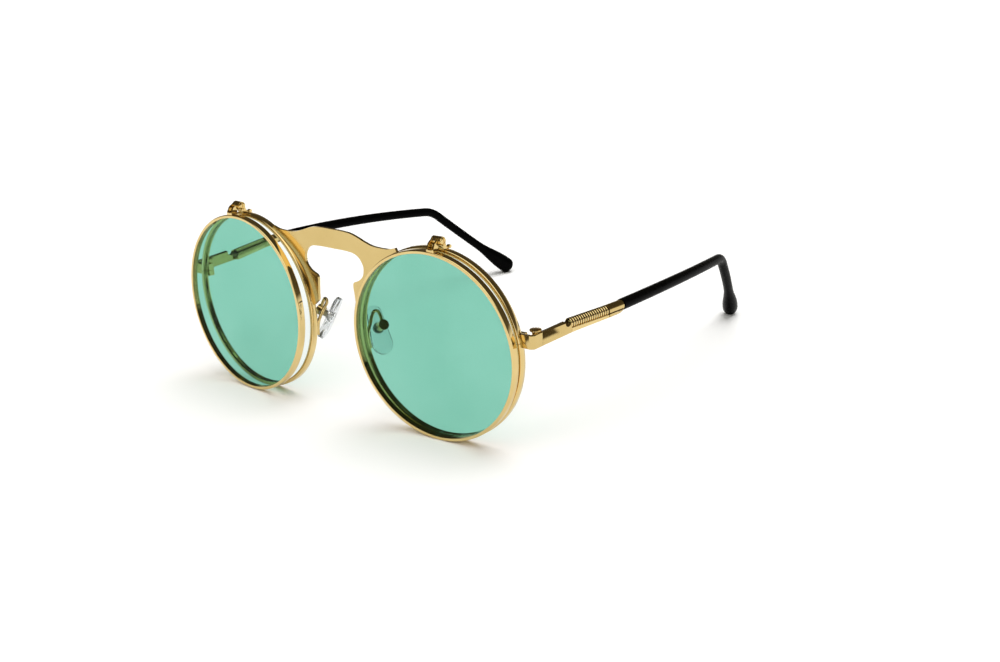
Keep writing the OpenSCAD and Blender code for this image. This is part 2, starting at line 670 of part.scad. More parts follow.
module pad_core(s) {
    color(steel) on_pad(s) difference() {
        union() {
            translate([-disc_t / 2, 0, disc_up]) rotate([0, 90, 0]) cylinder(h = disc_t, d = pad_disc_d);
            pad_stub(0);
        }
        translate([pad_axis_x, 0, disc_up]) rotate([90, 0, 0])
            cylinder(h = 4 * stub_t, d = pad_pin_d + 2 * pin_play, center = true);
    }
}

// The pad screw's head lies in a recess of the box
pad_head_d = pad_pin_d + 0.4;
pad_head_t = 0.3;
pad_head_y = pad_box_d / 2 - pad_head_t;

module pad_screw(s) {
    color(steel) on_pad(s) translate([pad_axis_x, -pad_head_y, disc_up]) rotate([90, 0, 0])
        slotted_screw(pad_head_d, pad_head_t, pad_pin_d, 2 * pad_head_y);
}

// Wire from the back of the rim over the pad's top to a slotted box
module pad_arm(s) {
    r = pad_wire_d / 2;
    foot = behind_rim(-2.2);
    route = curve([behind_rim(-5.8), foot, foot + [-0.35, 1.35, 2.5], foot + [-0.7, 2.9, 4.7],
        turned([2.9, -0.85, 4.7]), turned([3.6, -0.3, 4.3]), turned([box_from + 1.5, 0, 2.9]),
        turned([box_from + 1.4, 0, 1.6])], 5);
    last = len(route) - 1;
    rings = [for (i = [0 : last])
        ring(route[i], unit(route[min(i + 1, last)] - route[max(i - 1, 0)]), r, r, wire_sides)];
    slot_len = past + pad_axis_x - box_from + stub_r + 0.15;
    color(gold) {
        on_side(s) polyhedron(joined(rings), concat(skin(len(rings), wire_sides, 0, false),
            [cap(0, wire_sides, false), cap(last * wire_sides, wire_sides, true)]));
        on_pad(s) translate([0, 0, disc_up]) difference() {
            translate([box_from, 0, 0]) rotate([0, 90, 0]) cylinder(h = box_len, d = pad_box_d);
            translate([box_from - past, -box_slot / 2, -pad_box_d]) cube([slot_len, box_slot, 2 * pad_box_d]);
            translate([pad_axis_x, 0, 0]) rotate([90, 0, 0])
                cylinder(h = 2 * pad_box_d, d = pad_pin_d + 2 * fit, center = true);
            translate([pad_axis_x, -pad_head_y + fit, 0]) rotate([90, 0, 0])
                cylinder(h = pad_box_d, d = pad_head_d + 2 * fit);
        }
    }
}

bridge_plate();
rim(left);  // left_rim
rim(right);  // right_rim
end_piece(left);  // left_end_piece
end_piece(right);  // right_end_piece
flip_base(left);  // left_flip_base
flip_base(right);  // right_flip_base
clear_lens(left);  // left_clear_lens
clear_lens(right);  // right_clear_lens
pad_arm(left);  // left_pad_arm
pad_arm(right);  // right_pad_arm
rim_lock_screw(left);  // left_rim_lock_screw
rim_lock_screw(right);  // right_rim_lock_screw
nose_pad(left);  // left_nose_pad
nose_pad(right);  // right_nose_pad
pad_core(left);  // left_pad_core
pad_core(right);  // right_pad_core
pad_screw(left);  // left_pad_screw
pad_screw(right);  // right_pad_screw
flip_rim(left);  // left_flip_rim
flip_rim(right);  // right_flip_rim
tinted_lens(left);  // left_tinted_lens
tinted_lens(right);  // right_tinted_lens
flip_leaf(left);  // left_flip_leaf
flip_leaf(right);  // right_flip_leaf
flip_screw(left);  // left_flip_screw
flip_screw(right);  // right_flip_screw
temple_bar(left);  // left_temple_bar
temple_bar(right);  // right_temple_bar
temple_grip(left);  // left_temple_grip
temple_grip(right);  // right_temple_grip
temple_collar(left);  // left_temple_collar
temple_collar(right);  // right_temple_collar
core_wire(left);  // left_core_wire
core_wire(right);  // right_core_wire
temple_tip(left);  // left_temple_tip
temple_tip(right);  // right_temple_tip
temple_screw(left);  // left_temple_screw
temple_screw(right);  // right_temple_screw
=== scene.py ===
import json
from math import atan2, cos, pi, radians, sin

import bmesh
import bpy
from mathutils import Matrix, Vector

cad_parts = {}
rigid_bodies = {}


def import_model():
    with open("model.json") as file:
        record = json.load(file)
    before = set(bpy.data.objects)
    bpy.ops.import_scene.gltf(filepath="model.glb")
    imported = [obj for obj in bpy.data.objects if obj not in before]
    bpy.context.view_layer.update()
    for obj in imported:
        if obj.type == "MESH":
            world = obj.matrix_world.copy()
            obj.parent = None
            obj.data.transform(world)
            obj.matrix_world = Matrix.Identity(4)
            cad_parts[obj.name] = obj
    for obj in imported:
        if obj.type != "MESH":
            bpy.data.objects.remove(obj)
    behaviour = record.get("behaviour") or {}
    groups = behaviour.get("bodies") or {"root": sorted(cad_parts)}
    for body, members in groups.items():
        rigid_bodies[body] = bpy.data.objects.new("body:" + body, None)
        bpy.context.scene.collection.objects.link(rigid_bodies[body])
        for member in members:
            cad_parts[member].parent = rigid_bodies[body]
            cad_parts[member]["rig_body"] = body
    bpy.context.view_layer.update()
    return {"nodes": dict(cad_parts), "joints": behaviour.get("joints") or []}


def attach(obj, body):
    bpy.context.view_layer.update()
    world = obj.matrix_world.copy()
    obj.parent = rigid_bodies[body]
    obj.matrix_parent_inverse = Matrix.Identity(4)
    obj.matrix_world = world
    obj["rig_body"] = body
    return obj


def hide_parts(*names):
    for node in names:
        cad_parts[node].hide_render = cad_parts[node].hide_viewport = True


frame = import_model()
MM = 0.001


# Camera: the glasses stand tilted a little, because the temple tips carry them. The camera was found in the
# frame of the front, in mm, so its place and axes turn by the same angle. The left temple's hinge gives that
# angle and the place.
FOLD = next(joint for joint in frame["joints"] if joint["name"] == "left_temple_fold")
FOLD_IN_FRONT = Vector((60.164, 5.0439, 5)) * MM
PITCH = atan2(-FOLD["axis"][1], FOLD["axis"][2])
TURN = Matrix.Rotation(PITCH, 3, "X")
STANDS_AT = Vector(FOLD["pos_m"]) - TURN @ FOLD_IN_FRONT
CAMERA_PLACE = (230.66, -216.0, 104.78)
CAMERA_RIGHT = (0.7813, 0.6228, -0.0405)
CAMERA_UP = (-0.1763, 0.2826, 0.9429)
CAMERA_LENS = 45.01
SENSOR_WIDTH = 36
NEAREST, FARTHEST = 0.01, 20


def add_camera():
    data = bpy.data.cameras.new("camera")
    data.lens = CAMERA_LENS
    data.sensor_width = SENSOR_WIDTH
    data.clip_start, data.clip_end = NEAREST, FARTHEST
    camera = bpy.data.objects.new("camera", data)
    bpy.context.scene.collection.objects.link(camera)
    right = TURN @ Vector(CAMERA_RIGHT)
    back = right.cross(TURN @ Vector(CAMERA_UP)).normalized()
    axes = Matrix((right, back.cross(right), back)).transposed()
    place = TURN @ (Vector(CAMERA_PLACE) * MM) + STANDS_AT
    camera.matrix_world = Matrix.Translation(place) @ axes.to_4x4()
    bpy.context.scene.camera = camera


# Materials
def shader_tree(name):
    """A material with an empty tree but for its output and one Principled shader."""
    made = bpy.data.materials.new(name)
    made.use_nodes = True
    tree = made.node_tree
    tree.nodes.clear()
    output = tree.nodes.new("ShaderNodeOutputMaterial")
    shader = tree.nodes.new("ShaderNodeBsdfPrincipled")
    tree.links.new(shader.outputs[0], output.inputs["Surface"])
    return made, tree, shader, output


def maths(tree, operation, first, second):
    """One Math node on two values, of which the second may be a plain number."""
    node = tree.nodes.new("ShaderNodeMath")
    node.operation = operation
    tree.links.new(first, node.inputs[0])
    if isinstance(second, bpy.types.NodeSocket):
        tree.links.new(second, node.inputs[1])
    else:
        node.inputs[1].default_value = second
    return node.outputs[0]


def noise(tree, scale, detail=3.0, stretch=(1, 1, 1)):
    """Noise that sits on the piece, with its scale per metre."""
    place = tree.nodes.new("ShaderNodeTexCoord")
    mapping = tree.nodes.new("ShaderNodeMapping")
    mapping.inputs["Scale"].default_value = stretch
    cloud = tree.nodes.new("ShaderNodeTexNoise")
    cloud.inputs["Scale"].default_value = scale
    cloud.inputs["Detail"].default_value = detail
    tree.links.new(place.outputs["Object"], mapping.inputs["Vector"])
    tree.links.new(mapping.outputs[0], cloud.inputs["Vector"])
    return cloud.outputs["Fac"]


NOISE_LOW, NOISE_HIGH = 0.3, 0.7


def spread(tree, value, low, high):
    """Noise, most of which lies from NOISE_LOW to NOISE_HIGH, spread over low to high."""
    node = tree.nodes.new("ShaderNodeMapRange")
    node.inputs["From Min"].default_value = NOISE_LOW
    node.inputs["From Max"].default_value = NOISE_HIGH
    node.inputs["To Min"].default_value = low
    node.inputs["To Max"].default_value = high
    tree.links.new(value, node.inputs["Value"])
    return node.outputs[0]


def between(tree, value, first, second):
    """A colour that goes from first to second with noise."""
    ramp = tree.nodes.new("ShaderNodeValToRGB")
    ends = ramp.color_ramp.elements
    ends[0].position, ends[1].position = NOISE_LOW, NOISE_HIGH
    ends[0].color, ends[1].color = (*first, 1), (*second, 1)
    tree.links.new(value, ramp.inputs[0])
    return ramp.outputs["Color"]


def bump(tree, shader, height, depth, strength=1.0):
    node = tree.nodes.new("ShaderNodeBump")
    node.inputs["Distance"].default_value = depth
    node.inputs["Strength"].default_value = strength
    tree.links.new(height, node.inputs["Height"])
    tree.links.new(node.outputs[0], shader.inputs["Normal"])


def seen_directly(tree):
    """1 for what the eye sees itself or through the lenses, 0 for what shows in the metal or only lights the
    scene."""
    path = tree.nodes.new("ShaderNodeLightPath")
    plain = maths(tree, "MAXIMUM", path.outputs["Is Camera Ray"], path.outputs["Is Transmission Ray"])
    return maths(tree, "MULTIPLY", plain, maths(tree, "LESS_THAN", path.outputs["Glossy Depth"], 0.5))


# Painted shade for the grooves between the ribs, mixed into the gold's colour where they lie
GROOVE_SHADE = (0.05, 0.03, 0.008, 1)
GLOSSIEST, DULLEST = 0.85, 1.2


def plating(name, light, deep, gloss, brushing, grooves=False):
    """Plated metal: a slow drift of colour, patches of duller gloss, fine polishing marks and, where asked
    for, shade painted into the grooves, as strong as the mesh's own attribute says."""
    made, tree, shader = shader_tree(name)[:3]
    shader.inputs["Metallic"].default_value = 1
    colour = between(tree, noise(tree, 110), light, deep)
    if grooves:
        # Painted shade: the colour goes dark towards the bottom of the grooves, as far as the mesh's
        # attribute says
        depth = tree.nodes.new("ShaderNodeAttribute")
        depth.attribute_name = "groove"
        darker = tree.nodes.new("ShaderNodeMix")
        darker.data_type = "RGBA"
        darker.inputs["B"].default_value = GROOVE_SHADE
        tree.links.new(depth.outputs["Fac"], darker.inputs["Factor"])
        tree.links.new(colour, darker.inputs["A"])
        colour = darker.outputs["Result"]
    tree.links.new(colour, shader.inputs["Base Color"])
    patches = spread(tree, noise(tree, 420, detail=5), gloss * GLOSSIEST, gloss * DULLEST)
    tree.links.new(patches, shader.inputs["Roughness"])
    bump(tree, shader, noise(tree, 900, detail=2, stretch=(1, 1, 0.3)), brushing)
    return made


FAINT_TINT = (0.75, 0.78, 0.74, 1)


def lens_glass(name, tint, pale):
    """Glass with a slight unevenness in its tint. Shadows, scattered light and what the metal mirrors go
    straight through it, and shadows and mirrored things take FAINT_TINT instead of its own."""
    made, tree, shader, output = shader_tree(name)
    colour = between(tree, noise(tree, 45), tint, pale)
    tree.links.new(colour, shader.inputs["Base Color"])
    shader.inputs["Transmission Weight"].default_value = 1
    shader.inputs["IOR"].default_value = 1.08
    shader.inputs["Specular IOR Level"].default_value = 0.6
    tree.links.new(spread(tree, noise(tree, 300), 0.0, 0.015), shader.inputs["Roughness"])
    path = tree.nodes.new("ShaderNodeLightPath")
    shadow, diffuse = path.outputs["Is Shadow Ray"], path.outputs["Is Diffuse Ray"]
    in_metal = maths(tree, "GREATER_THAN", path.outputs["Glossy Depth"], 0.5)
    weaker = tree.nodes.new("ShaderNodeMix")
    weaker.data_type = "RGBA"
    weaker.inputs["B"].default_value = FAINT_TINT
    tree.links.new(maths(tree, "MAXIMUM", in_metal, shadow), weaker.inputs["Factor"])
    tree.links.new(colour, weaker.inputs["A"])
    clear = tree.nodes.new("ShaderNodeBsdfTransparent")
    tree.links.new(weaker.outputs["Result"], clear.inputs["Color"])
    straight_through = maths(tree, "MAXIMUM", maths(tree, "MAXIMUM", shadow, diffuse), in_metal)
    mix = tree.nodes.new("ShaderNodeMixShader")
    tree.links.new(straight_through, mix.inputs["Fac"])
    tree.links.new(shader.outputs[0], mix.inputs[1])
    tree.links.new(clear.outputs[0], mix.inputs[2])
    tree.links.new(mix.outputs[0], output.inputs["Surface"])
    return made


def soft_plastic():
    """Clear, slightly milky plastic of the nose pads."""
    made, tree, shader = shader_tree("clear pad plastic")[:3]
    colour = between(tree, noise(tree, 260), (0.93, 0.95, 0.96), (0.84, 0.88, 0.90))
    tree.links.new(colour, shader.inputs["Base Color"])
    shader.inputs["Transmission Weight"].default_value = 0.93
    shader.inputs["IOR"].default_value = 1.33
    tree.links.new(spread(tree, noise(tree, 900), 0.03, 0.10), shader.inputs["Roughness"])
    bump(tree, shader, noise(tree, 700), 0.00003, strength=0.5)
    return made


def black_sleeve():
    """Black plastic sleeve: satin, with the faint waviness of a moulded surface."""
    made, tree, shader = shader_tree("black sleeve plastic")[:3]
    colour = between(tree, noise(tree, 150), (0.001, 0.001, 0.001), (0.002, 0.002, 0.002))
    tree.links.new(colour, shader.inputs["Base Color"])
    tree.links.new(spread(tree, noise(tree, 500, detail=4), 0.22, 0.34), shader.inputs["Roughness"])
    shader.inputs["IOR"].default_value = 1.08
    bump(tree, shader, noise(tree, 700, detail=2), 0.000006, strength=0.3)
    return made


polished_gold = plating("polished gold plating", (0.84, 0.65, 0.30), (0.77, 0.57, 0.24), gloss=0.06,
                        brushing=0.0000006)
ribbed_gold = plating("ribbed gold plating", (0.86, 0.67, 0.32), (0.80, 0.60, 0.26), gloss=0.08,
                      brushing=0.0000006, grooves=True)
satin_gold = plating("satin gold plating", (0.73, 0.55, 0.235), (0.68, 0.50, 0.20), gloss=0.14,
                     brushing=0.0000008)
nickel = plating("nickel silver", (0.62, 0.60, 0.55), (0.52, 0.50, 0.46), gloss=0.34, brushing=0.000001)
tinted_glass = lens_glass("green tinted glass", (0.252, 0.603, 0.485), (0.288, 0.645, 0.525))
clear_glass = lens_glass("clear glass", (0.93, 0.98, 0.95), (0.96, 1.0, 0.98))
pad_plastic = soft_plastic()
sleeve_plastic = black_sleeve()


# Finished copies of the solids
def body_of(node):
    return frame["nodes"][node]["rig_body"]


def add_piece(name, mesh, material, body, slot, *nodes):
    """A finished piece that stands for CAD nodes and moves with their body."""
    mesh.materials.clear()
    mesh.materials.append(material)
    piece = bpy.data.objects.new(name, mesh)
    bpy.context.scene.collection.objects.link(piece)
    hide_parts(*nodes)
    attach(piece, body)


# Points nearer than this, in metres, are one: on a copied solid, and on a mesh that a tree made
SAME_POINT = 0.000002
SAME_MADE_POINT = 0.0000005
SAME_PLANE = radians(0.5)
CREASE = 32
ROUNDED_CREASE = 16


def smooth(shape, crease):
    """Smooth faces, with a crisp edge where two of them meet at more than crease degrees."""
    for face in shape.faces:
        face.smooth = True
    for edge in shape.edges:
        edge.smooth = edge.is_manifold and edge.calc_face_angle(0) < radians(crease)


def rounded_copy(node, rounding=0.0, crease=CREASE):
    """A copy of a solid with shared points, smooth curves, crisp edges and, where asked for, rounded edges.
    After rounding, an edge is crisp only from ROUNDED_CREASE more degrees."""
    shape = bmesh.new()
    shape.from_mesh(frame["nodes"][node].data)
    bmesh.ops.remove_doubles(shape, verts=shape.verts, dist=SAME_POINT)
    if rounding:
        bmesh.ops.dissolve_limit(shape, angle_limit=SAME_PLANE, verts=shape.verts, edges=shape.edges)
    smooth(shape, crease)
    if rounding:
        sharp = [edge for edge in shape.edges if not edge.smooth]
        bmesh.ops.bevel(shape, geom=sharp, offset=rounding * MM, segments=2, affect="EDGES",
                        clamp_overlap=True, harden_normals=False)
        smooth(shape, crease + ROUNDED_CREASE)
    mesh = bpy.data.meshes.new(node + "_finished")
    shape.to_mesh(mesh)
    shape.free()
    return mesh


def finished(node, material, slot, rounding=0.0, crease=CREASE):
    made = rounded_copy(node, rounding, crease)
    add_piece(node + "_finished", made, material, body_of(node), slot, node)


# Trees for the pieces that repeat or follow a path
def start_tree(name, **sizes):
    """A Geometry Nodes tree that takes a mesh, a material and the sizes named here, and gives a mesh."""
    tree = bpy.data.node_groups.new(name, "GeometryNodeTree")
    tree.interface.new_socket("Mesh", in_out="INPUT", socket_type="NodeSocketGeometry")
    tree.interface.new_socket("Metal", in_out="INPUT", socket_type="NodeSocketMaterial")
    for label, kind in sizes.items():
        tree.interface.new_socket(label.replace("_", " "), in_out="INPUT", socket_type=f"NodeSocket{kind}")
    tree.interface.new_socket("Mesh", in_out="OUTPUT", socket_type="NodeSocketGeometry")
    return tree, tree.nodes.new("NodeGroupInput"), tree.nodes.new("NodeGroupOutput")


def step(tree, kind, **links):
    """A node of a tree, with its inputs linked to sockets or set to values."""
    node = tree.nodes.new(kind)
    for name, value in links.items():
        socket = next(x for x in node.inputs if x.name == name.replace("_", " ") and x.enabled)
        if isinstance(value, bpy.types.NodeSocket):
            tree.links.new(value, socket)
        else:
            socket.default_value = value
    return node.outputs[0]


def vector(tree, **parts):
    return step(tree, "ShaderNodeCombineXYZ", **parts)


def end_tree(tree, given, result, made, join_input):
    """Joins what was made to the mesh that came in, makes it real and gives it its metal."""
    together = tree.nodes.new("GeometryNodeJoinGeometry")
    if join_input:
        tree.links.new(given.outputs["Mesh"], together.inputs[0])
    for piece in made:
        tree.links.new(piece, together.inputs[0])
    real = step(tree, "GeometryNodeRealizeInstances", Geometry=together.outputs[0])
    plated = step(tree, "GeometryNodeSetMaterial", Geometry=real, Material=given.outputs["Metal"])
    tree.links.new(plated, result.inputs[0])
    return tree


ROD_SIDES = 56
RIB_SIDES = 16
RIDGE_SIDES = 8


def ribs_tree():
    """A rod along +Y with rounded ribs at an even pitch. It stores an attribute that paints shade into the
    grooves:
    1 at the rod's own radius and 0 beyond Groove top."""
    tree, given, result = start_tree("ribs along a rod", Ribs="Int", Pitch="Float", Root_radius="Float",
                                     Rib_radius="Float", Rib_width="Float", Groove_top="Float",
                                     Rod_length="Float")
    size = given.outputs
    path = step(tree, "GeometryNodeCurvePrimitiveCircle", Resolution=ROD_SIDES, Radius=size["Root radius"])
    section = step(tree, "GeometryNodeCurvePrimitiveCircle", Resolution=RIB_SIDES, Radius=1.0)
    height = maths(tree, "SUBTRACT", size["Rib radius"], size["Root radius"])
    half_width = maths(tree, "MULTIPLY", size["Rib width"], 0.5)
    shaped = step(tree, "GeometryNodeTransform", Geometry=section,
                  Scale=vector(tree, X=height, Y=half_width, Z=0.0))
    rib = step(tree, "GeometryNodeCurveToMesh", Curve=path, Profile_Curve=shaped)
    first = vector(tree, Z=maths(tree, "MULTIPLY", size["Pitch"], 0.5))
    places = step(tree, "GeometryNodeMeshLine", Count=size["Ribs"], Start_Location=first,
                  Offset=vector(tree, Z=size["Pitch"]))
    ribs = step(tree, "GeometryNodeInstanceOnPoints", Points=places, Instance=rib)
    rod = step(tree, "GeometryNodeMeshCylinder", Vertices=ROD_SIDES, Radius=size["Root radius"],
               Depth=size["Rod length"])
    half_length = maths(tree, "MULTIPLY", size["Rod length"], 0.5)
    rod = step(tree, "GeometryNodeTransform", Geometry=rod, Translation=vector(tree, Z=half_length))
    along_x = step(tree, "ShaderNodeSeparateXYZ", Vector=step(tree, "GeometryNodeInputPosition"))
    from_axis = tree.nodes.new("ShaderNodeVectorMath")
    from_axis.operation = "LENGTH"
    tree.links.new(vector(tree, X=along_x, Y=along_x.node.outputs["Y"]), from_axis.inputs[0])
    # Painted shade: darkest at the rod's own radius, none beyond Groove top
    depth = step(tree, "ShaderNodeMapRange", Value=from_axis.outputs["Value"], From_Min=size["Groove top"],
                 From_Max=size["Root radius"])
    turned = []
    for piece in (step(tree, "GeometryNodeRealizeInstances", Geometry=ribs), rod):
        marked = step(tree, "GeometryNodeStoreNamedAttribute", Geometry=piece, Name="groove", Value=depth)
        turned.append(step(tree, "GeometryNodeTransform", Geometry=marked, Rotation=(-pi / 2, 0, 0)))
    return end_tree(tree, given, result, turned, True)


def ridges_tree():
    """Upright ridges round the edge of a screw's head, at Place and leaning by Lean."""
    tree, given, result = start_tree("ridges round a screw head", Ridges="Int", Head_radius="Float",
                                     Ridge_radius="Float", Ridge_height="Float", Place="Vector",
                                     Lean="Vector")
    size = given.outputs
    places = step(tree, "GeometryNodeMeshCircle", Vertices=size["Ridges"], Radius=size["Head radius"])
    ridge = step(tree, "GeometryNodeMeshCylinder", Vertices=RIDGE_SIDES, Radius=size["Ridge radius"],
                 Depth=size["Ridge height"])
    ridges = step(tree, "GeometryNodeInstanceOnPoints", Points=places, Instance=ridge)
    placed = step(tree, "GeometryNodeTransform", Geometry=ridges, Translation=size["Place"],
                  Rotation=size["Lean"])
    return end_tree(tree, given, result, [placed], True)


def hoop_tree():
    """The mesh's outline swept round a circle that lies flat."""
    tree, given, result = start_tree("outline swept round a hoop", Hoop_radius="Float", Steps="Int")
    size = given.outputs
    path = step(tree, "GeometryNodeCurvePrimitiveCircle", Resolution=size["Steps"],
                Radius=size["Hoop radius"])
    outline = step(tree, "GeometryNodeMeshToCurve", Mesh=size["Mesh"])
    hoop = step(tree, "GeometryNodeCurveToMesh", Curve=path, Profile_Curve=outline)
    return end_tree(tree, given, result, [hoop], False)


def grown(mesh, tree, metal, **sizes):
    """The plain mesh that a tree makes of a mesh, with the sizes given by name."""
    holder = bpy.data.objects.new("holder", mesh)
    bpy.context.scene.collection.objects.link(holder)
    nodes = holder.modifiers.new("tree", "NODES")
    nodes.node_group = tree
    wanted = {name.replace("_", " "): value for name, value in sizes.items()} | {"Metal": metal}
    for socket in tree.interface.items_tree:
        if socket.in_out == "INPUT" and socket.name in wanted:
            nodes[socket.identifier] = wanted[socket.name]
    made = bpy.data.meshes.new_from_object(holder.evaluated_get(bpy.context.evaluated_depsgraph_get()))
    bpy.data.objects.remove(holder)
    return made


def crisp(mesh, crease, matrix=Matrix.Identity(4)):
    """Puts a mesh in its place, with faces outward, smooth faces and crisp edges."""
    mesh.transform(matrix)
    shape = bmesh.new()
    shape.from_mesh(mesh)
    bmesh.ops.remove_doubles(shape, verts=shape.verts, dist=SAME_MADE_POINT)
    bmesh.ops.recalc_face_normals(shape, faces=shape.faces)
    smooth(shape, crease)
    shape.to_mesh(mesh)
    shape.free()
    return mesh


def mirrored(side):
    return Matrix.Diagonal((1 if side == "left" else -1, 1, 1, 1))


# Ribbed grips, in mm: a ribbed rod with a flat strip along its outer and lower side
GRIP_START = (61.4554, 16.3273, 5.4578)
GRIP_FLARE = radians(10)
GRIP_RISE = radians(0.3)
GRIP_LENGTH = 13.1
ROD_RADIUS = 1.35
GROOVE_DEPTH = 0.3
GROOVE_TOP_DEPTH = GROOVE_DEPTH * 0.45
RIBS = 17
RIB_WIDTH = 0.54
STRIP_IN = 0.35
STRIP_BACK = -ROD_RADIUS * 0.6
STRIP_ROUNDING = 0.08
STRIP_TOP = -0.81
STRIP_LOW_START = -1.95
STRIP_LOW_END = -1.604
NOSE_RADIUS = 0.6
NOSE_GAP = 0.1
NOSE_PLACE = (STRIP_IN - NOSE_RADIUS - NOSE_GAP, -0.35, 0)
NOSE_STRETCH = 2
# Share of the grooves' painted shade that the rounded start of the rod takes
NOSE_DARKNESS = 0.75
GRIP_CREASE = 50
grip_ribs = ribs_tree()


def strip_and_nose():
    """The grip's flat strip, which is deeper near the hinge, and the rounded start of the rod, in mm."""
    shape = bmesh.new()
    ends = []
    for y, low in ((0, STRIP_LOW_START), (GRIP_LENGTH, STRIP_LOW_END)):
        outline = [(ROD_RADIUS, low), (ROD_RADIUS, STRIP_TOP), (STRIP_IN, STRIP_TOP), (STRIP_BACK, STRIP_TOP),
                   (STRIP_BACK, low)]
        ends.append([shape.verts.new((x, y, z)) for x, z in outline])
    for first in range(len(outline)):
        second = (first + 1) % len(outline)
        shape.faces.new((ends[0][first], ends[0][second], ends[1][second], ends[1][first]))
    shape.faces.new(ends[0])
    shape.faces.new(reversed(ends[1]))
    bmesh.ops.bevel(shape, geom=list(shape.edges), offset=STRIP_ROUNDING, segments=2, affect="EDGES",
                    clamp_overlap=True)
    nose_at = Matrix.Translation(NOSE_PLACE) @ Matrix.Diagonal((1, NOSE_STRETCH, 1, 1))
    groove = shape.verts.layers.float.new("groove")
    nose = bmesh.ops.create_uvsphere(shape, u_segments=24, v_segments=16, radius=NOSE_RADIUS,
                                     matrix=nose_at)
    # The rounded start takes the painted shade of the grooves too, NOSE_DARKNESS of its full strength
    for vertex in nose["verts"]:
        vertex[groove] = NOSE_DARKNESS
    mesh = bpy.data.meshes.new("strip")
    shape.to_mesh(mesh)
    shape.free()
    return mesh


def add_grip(side):
    made = grown(strip_and_nose(), grip_ribs, ribbed_gold, Ribs=RIBS, Pitch=GRIP_LENGTH / RIBS,
                 Root_radius=ROD_RADIUS - GROOVE_DEPTH, Rib_radius=ROD_RADIUS, Rib_width=RIB_WIDTH,
                 Groove_top=ROD_RADIUS - GROOVE_TOP_DEPTH, Rod_length=GRIP_LENGTH)
    lie = Matrix.Rotation(-GRIP_FLARE, 4, "Z") @ Matrix.Rotation(GRIP_RISE, 4, "X")
    front = Matrix.Translation(STANDS_AT) @ TURN.to_4x4() @ Matrix.Scale(MM, 4)
    crisp(made, GRIP_CREASE, front @ mirrored(side) @ Matrix.Translation(GRIP_START) @ lie)
    node = f"{side}_temple_grip"
    add_piece(node + "_finished", made, ribbed_gold, body_of(node), "gold", node)


# Flip rims: a wire with a rounded outer side, bent round the lens
FLIP_RIM_WIDTH = 0.85
FLIP_RIM_DEPTH = 1.9
OPENING_RADIUS = 24
OUTER_ROUNDING = 0.3
INNER_ROUNDING = 0.08
CORNER_STEPS = 6
HOOP_STEPS = 180
RIM_CREASE = 60
rim_hoop = hoop_tree()


def rim_outline():
    """The rim's cross-section as a closed outline in mm: X is outward from the lens, Y is the depth."""
    half = FLIP_RIM_DEPTH / 2
    corners = ((0, -half, INNER_ROUNDING, 180), (FLIP_RIM_WIDTH, -half, OUTER_ROUNDING, 270),
               (FLIP_RIM_WIDTH, half, OUTER_ROUNDING, 0), (0, half, INNER_ROUNDING, 90))
    points = []
    for x, y, r, start in corners:
        middle = (x + (r if x == 0 else -r), y + (r if y < 0 else -r))
        for part in range(CORNER_STEPS + 1):
            angle = radians(start + 90 * part / CORNER_STEPS)
            points.append((middle[0] + r * cos(angle), middle[1] + r * sin(angle), 0))
    mesh = bpy.data.meshes.new("rim outline")
    mesh.from_pydata(points, [(i, (i + 1) % len(points)) for i in range(len(points))], [])
    return mesh


MOST_LEAN = 60


def lying_round(node):
    """Middle and axes of a flat round solid, from its own points: one axis along its hinge, one up its plane.
    It faces the way in which it is thinnest, out of leans up to MOST_LEAN tenths of a degree off upright."""
    hinge = next(j for j in frame["joints"] if j["child"] == body_of(node))
    across = Vector(hinge["axis"]).normalized()
    points = [vertex.co for vertex in frame["nodes"][node].data.vertices]
    best = None
    for tenth in range(-MOST_LEAN, MOST_LEAN + 1):
        down = Matrix.Rotation(radians(tenth / 10), 3, across) @ Vector((0, 0, 1))
        facing = across.cross(down).normalized()
        reach = [p.dot(facing) for p in points]
        if best is None or max(reach) - min(reach) < best[0]:
            best = (max(reach) - min(reach), facing, facing.cross(across).normalized())
    facing, upward = best[1:]
    middle = sum((axis * (max(p.dot(axis) for p in points) + min(p.dot(axis) for p in points)) / 2
                  for axis in (across, upward, facing)), Vector())
    return middle, across, upward


def add_flip_rim(side):
    node = f"{side}_flip_rim"
    made = grown(rim_outline(), rim_hoop, polished_gold, Hoop_radius=float(OPENING_RADIUS), Steps=HOOP_STEPS)
    middle, across, upward = lying_round(node)
    axes = Matrix((across, upward, across.cross(upward))).transposed().to_4x4()
    crisp(made, RIM_CREASE, Matrix.Translation(middle) @ axes @ Matrix.Scale(MM, 4))
    add_piece(node + "_finished", made, polished_gold, body_of(node), "gold", node)


# Screws of the temple hinges: a low head with ridges for the fingers
HEAD_FOOT = 1.71
HEAD_RADIUS = 1.4
HEAD_THICKNESS = 0.55
HEAD_ROUNDING = 0.14
RIDGES = 22
RIDGE_CIRCLE = HEAD_RADIUS - 0.06
RIDGE_RADIUS = 0.11
RIDGE_HEIGHT = HEAD_THICKNESS * 0.72
RIDGE_MIDDLE = HEAD_THICKNESS * 0.38
head_ridges = ridges_tree()


def add_temple_screw(side):
    node = f"{side}_temple_screw"
    fold = next(joint for joint in frame["joints"] if joint["name"] == f"{side}_temple_fold")
    up = TURN @ Vector((0, 0, 1))
    place = Vector(fold["pos_m"]) + up * (HEAD_FOOT + RIDGE_MIDDLE) * MM
    made = grown(rounded_copy(node, HEAD_ROUNDING), head_ridges, satin_gold, Ridges=RIDGES,
                 Head_radius=RIDGE_CIRCLE * MM, Ridge_radius=RIDGE_RADIUS * MM,
                 Ridge_height=RIDGE_HEIGHT * MM, Place=place, Lean=(PITCH, 0.0, 0.0))
    add_piece(node + "_finished", crisp(made, CREASE), satin_gold, body_of(node), "gold", node)


